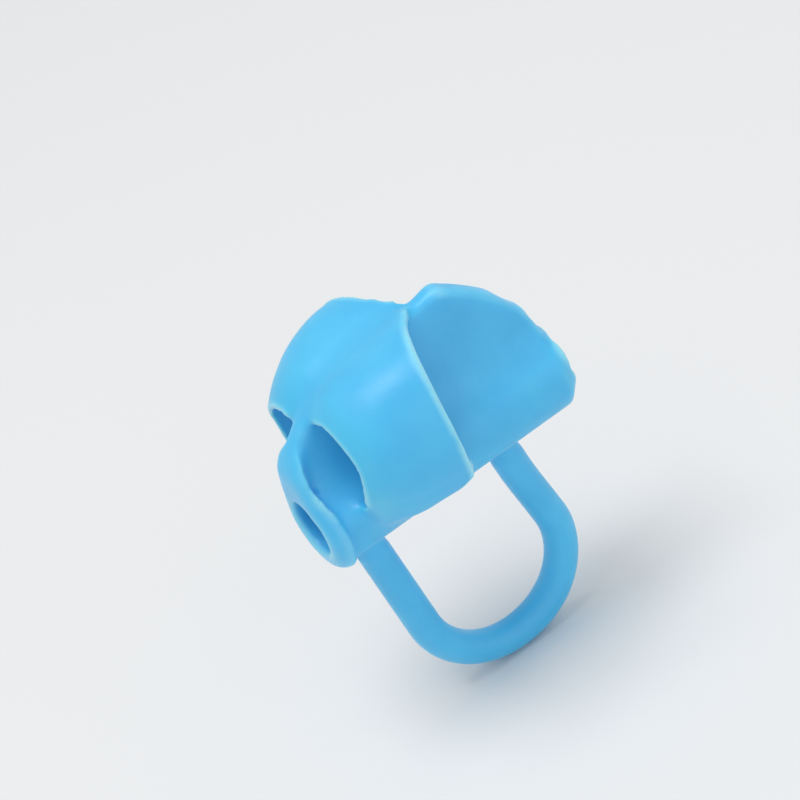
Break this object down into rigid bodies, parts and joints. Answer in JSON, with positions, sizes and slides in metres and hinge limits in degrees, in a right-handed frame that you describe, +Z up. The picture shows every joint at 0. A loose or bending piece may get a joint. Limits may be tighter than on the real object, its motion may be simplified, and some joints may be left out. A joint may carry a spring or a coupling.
{
  "type": "pencil grip",
  "caption": "Soft silicone writing grip for a pencil, with side-by-side finger hoods over the bore and a closed finger ring hanging below it.",
  "frame": {"origin": "on the axis of the bore, where the plain bore begins in front of its lobed rear mouth", "axes": "+X along the bore towards its rear end, where the shaft leaves; +Z up through the hoods; +Y towards the index finger's hood"},
  "size_m": [0.036, 0.0298, 0.0505],
  "materials": {
    "silicone": "satin"
  },
  "bodies": {
    "grip": {"bore_sleeve": "silicone", "spine": "silicone", "nose_collar": "silicone", "index_hood": "silicone", "thumb_hood": "silicone"},
    "ring": {"finger_ring": "silicone"}
  },
  "joints": [
    {"name": "ring_flex", "type": "hinge", "parent": "grip", "child": "ring", "pos_m": [-0.0193, 0, -0.0066], "axis": [1, 0, 0], "range_deg": [-30, 30], "stiffness_Nm_per_rad": 0.005}
  ]
}
